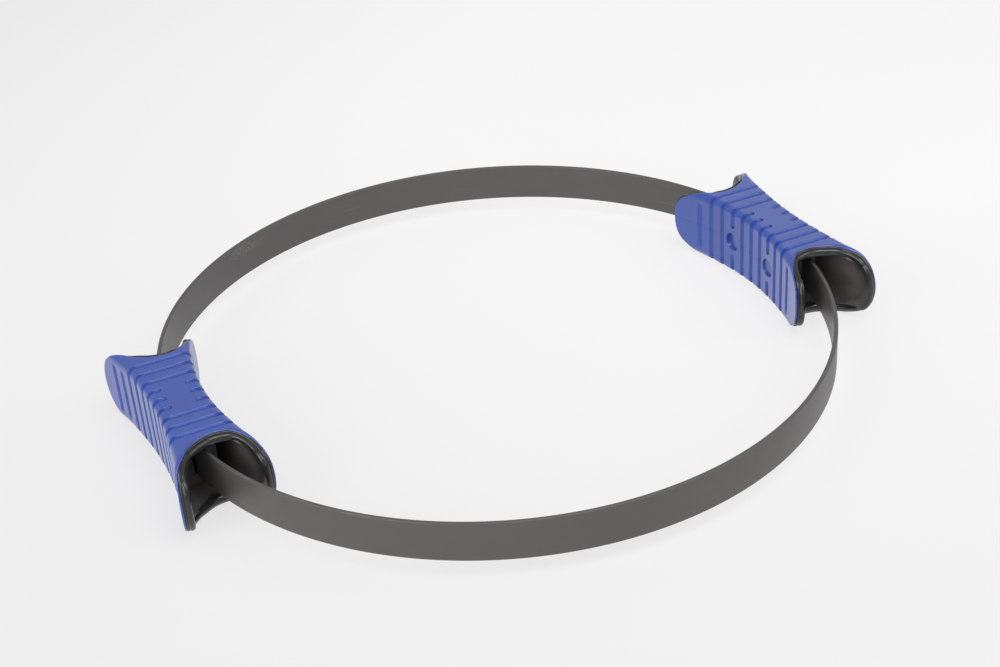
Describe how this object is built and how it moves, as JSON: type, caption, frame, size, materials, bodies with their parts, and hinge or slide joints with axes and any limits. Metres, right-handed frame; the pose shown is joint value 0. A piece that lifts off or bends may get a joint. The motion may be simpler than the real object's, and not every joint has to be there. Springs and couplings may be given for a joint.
{
  "type": "pilates ring",
  "caption": "Sprung flat-band exercise ring with opposed hollow, waisted and ribbed soft-grip handles that squeeze towards each other and spring back.",
  "frame": {"origin": "centre of the ring at half height", "axes": "+Z along the ring's axis, up as it lies flat; +X from the ring's centre to the right handle"},
  "size_m": [0.3956, 0.3622, 0.042],
  "materials": {
    "strip_steel": "rolled",
    "sleeve_vinyl": "satin",
    "core_plastic": "glossy",
    "grip_rubber": "satin",
    "block_plastic": "moulded",
    "steel": "zinc plated"
  },
  "bodies": {
    "band": {"spring_band": "strip_steel", "front_sleeve": "sleeve_vinyl", "back_sleeve": "sleeve_vinyl"},
    "left_handle": {"left_core": "core_plastic", "left_grip": "grip_rubber", "left_clamp_block": "block_plastic", "left_clamp_plate": "steel", "left_front_screw": "steel", "left_front_washer": "steel", "left_front_nut": "steel", "left_front_plug": "grip_rubber", "left_back_screw": "steel", "left_back_washer": "steel", "left_back_nut": "steel", "left_back_plug": "grip_rubber"},
    "right_handle": {"right_core": "core_plastic", "right_grip": "grip_rubber", "right_clamp_block": "block_plastic", "right_clamp_plate": "steel", "right_front_screw": "steel", "right_front_washer": "steel", "right_front_nut": "steel", "right_front_plug": "grip_rubber", "right_back_screw": "steel", "right_back_washer": "steel", "right_back_nut": "steel", "right_back_plug": "grip_rubber"}
  },
  "joints": [
    {"name": "left_squeeze", "type": "slide", "parent": "band", "child": "left_handle", "axis": [1, 0, 0], "range_m": [-0.015, 0.04], "stiffness_N_per_m": 2600, "deforming": ["spring_band", "front_sleeve", "back_sleeve"]},
    {"name": "right_squeeze", "type": "slide", "parent": "band", "child": "right_handle", "axis": [-1, 0, 0], "range_m": [-0.015, 0.04], "stiffness_N_per_m": 2600}
  ],
  "couplings": [
    {"joint": "right_squeeze", "follows": "left_squeeze", "ratio": 1}
  ]
}
